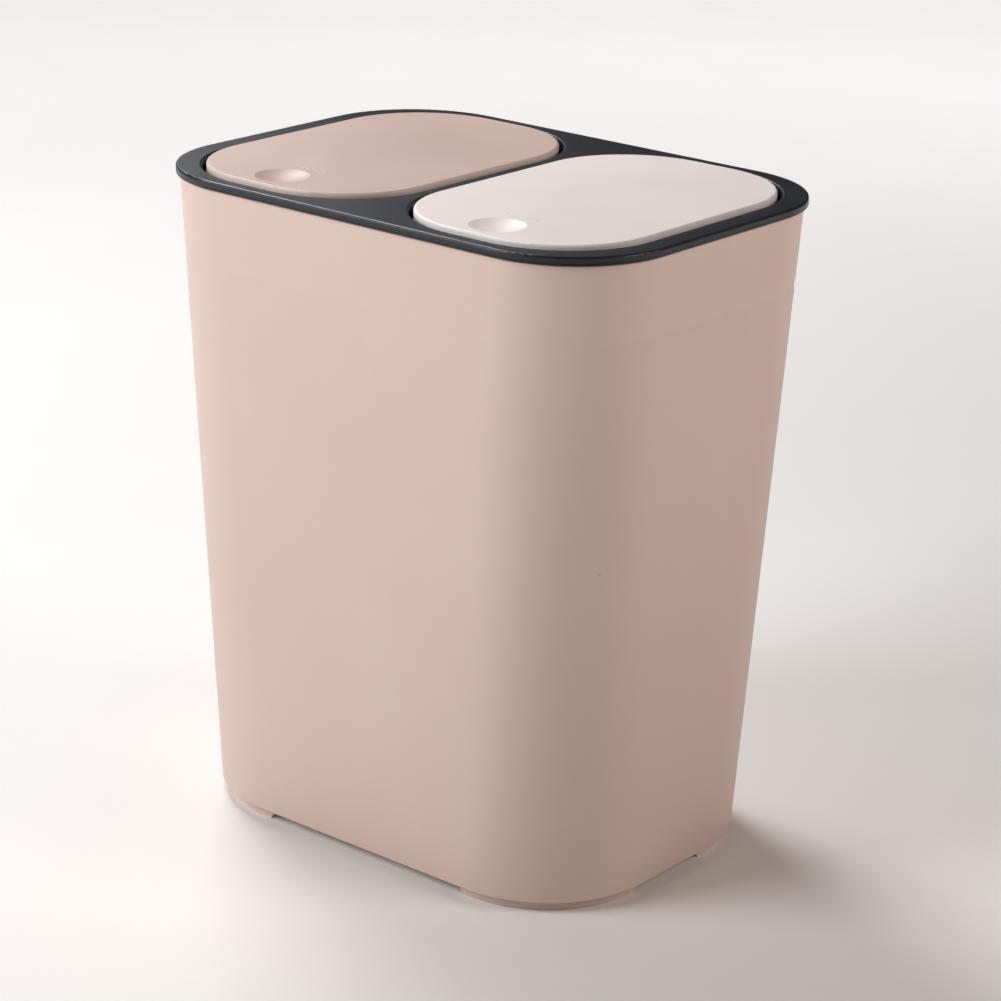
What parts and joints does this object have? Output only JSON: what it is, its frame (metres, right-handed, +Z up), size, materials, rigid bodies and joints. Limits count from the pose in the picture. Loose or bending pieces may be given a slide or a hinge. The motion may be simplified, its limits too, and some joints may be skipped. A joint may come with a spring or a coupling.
{
  "type": "twin-lid kitchen bin",
  "caption": "Tapered rounded kitchen bin with side-by-side push-to-open lids in a drop-in frame over lift-out inner buckets.",
  "frame": {"origin": "on the floor, under the middle of the bin", "axes": "+X to the right seen from the front, +Y to the back where the lids are hinged, +Z up"},
  "size_m": [0.2976, 0.2184, 0.3496],
  "materials": {
    "bucket_plastic": "dusty pink, fine moulded grain",
    "frame_plastic": "black, satin moulded",
    "lid_pink_plastic": "dusty pink, satin moulded",
    "lid_pale_plastic": "pale pinkish white, satin moulded",
    "pin_steel": "drawn bright",
    "spring_steel": "drawn wire",
    "latch_dark_plastic": "black, satin moulded",
    "latch_pale_plastic": "natural white, smooth moulded",
    "screw_steel": "zinc plated",
    "inner_plastic": "grey, satin moulded",
    "bail_steel": "galvanised wire"
  },
  "bodies": {
    "bucket": {"outer_bucket": "bucket_plastic"},
    "frame": {"lid_frame": "frame_plastic", "left_hinge_pin": "pin_steel", "left_lid_spring": "spring_steel", "left_latch_housing": "latch_dark_plastic", "left_latch_spring": "spring_steel", "left_latch_screws": "screw_steel", "right_hinge_pin": "pin_steel", "right_lid_spring": "spring_steel", "right_latch_housing": "latch_dark_plastic", "right_latch_spring": "spring_steel", "right_latch_screws": "screw_steel"},
    "left_lid": {"left_lid": "lid_pink_plastic", "left_strike": "latch_pale_plastic"},
    "left_plunger": {"left_latch_plunger": "latch_pale_plastic"},
    "left_inner": {"left_inner_bucket": "inner_plastic"},
    "left_bail": {"left_bail": "bail_steel"},
    "right_lid": {"right_lid": "lid_pale_plastic", "right_strike": "latch_pale_plastic"},
    "right_plunger": {"right_latch_plunger": "latch_pale_plastic"},
    "right_inner": {"right_inner_bucket": "inner_plastic"},
    "right_bail": {"right_bail": "bail_steel"}
  },
  "joints": [
    {"name": "frame_lift", "type": "slide", "parent": "bucket", "child": "frame", "axis": [0, 0, 1], "range_m": [0, 0.52]},
    {"name": "left_lid_hinge", "type": "hinge", "parent": "frame", "child": "left_lid", "pos_m": [-0.07, 0.0862, 0.3459], "axis": [-1, 0, 0], "range_deg": [-1, 76], "deforming": ["left_lid_spring"]},
    {"name": "left_latch_press", "type": "slide", "parent": "frame", "child": "left_plunger", "axis": [0, 0, 1], "range_m": [-0.0028, 0], "stiffness_N_per_m": 300, "springref_m": 0.0015, "deforming": ["left_latch_spring"]},
    {"name": "left_bucket_lift", "type": "slide", "parent": "bucket", "child": "left_inner", "axis": [0, 0, 1], "range_m": [0, 0.34]},
    {"name": "left_bail_swing", "type": "hinge", "parent": "left_inner", "child": "left_bail", "pos_m": [-0.0702, 0, 0.30905], "axis": [1, 0, 0], "range_deg": [0, 90]},
    {"name": "right_lid_hinge", "type": "hinge", "parent": "frame", "child": "right_lid", "pos_m": [0.07, 0.0862, 0.3459], "axis": [-1, 0, 0], "range_deg": [-1, 76], "deforming": ["right_lid_spring"]},
    {"name": "right_latch_press", "type": "slide", "parent": "frame", "child": "right_plunger", "axis": [0, 0, 1], "range_m": [-0.0028, 0], "stiffness_N_per_m": 300, "springref_m": 0.0015, "deforming": ["right_latch_spring"]},
    {"name": "right_bucket_lift", "type": "slide", "parent": "bucket", "child": "right_inner", "axis": [0, 0, 1], "range_m": [0, 0.34]},
    {"name": "right_bail_swing", "type": "hinge", "parent": "right_inner", "child": "right_bail", "pos_m": [0.0702, 0, 0.30905], "axis": [1, 0, 0], "range_deg": [0, 90]}
  ],
  "couplings": [
    {"joint": "left_bucket_lift", "follows": "frame_lift", "ratio": 0.65385},
    {"joint": "left_bail_swing", "follows": "frame_lift", "rad_per_m": 3.0208},
    {"joint": "right_bucket_lift", "follows": "frame_lift", "ratio": 0.65385},
    {"joint": "right_bail_swing", "follows": "frame_lift", "rad_per_m": 3.0208}
  ]
}
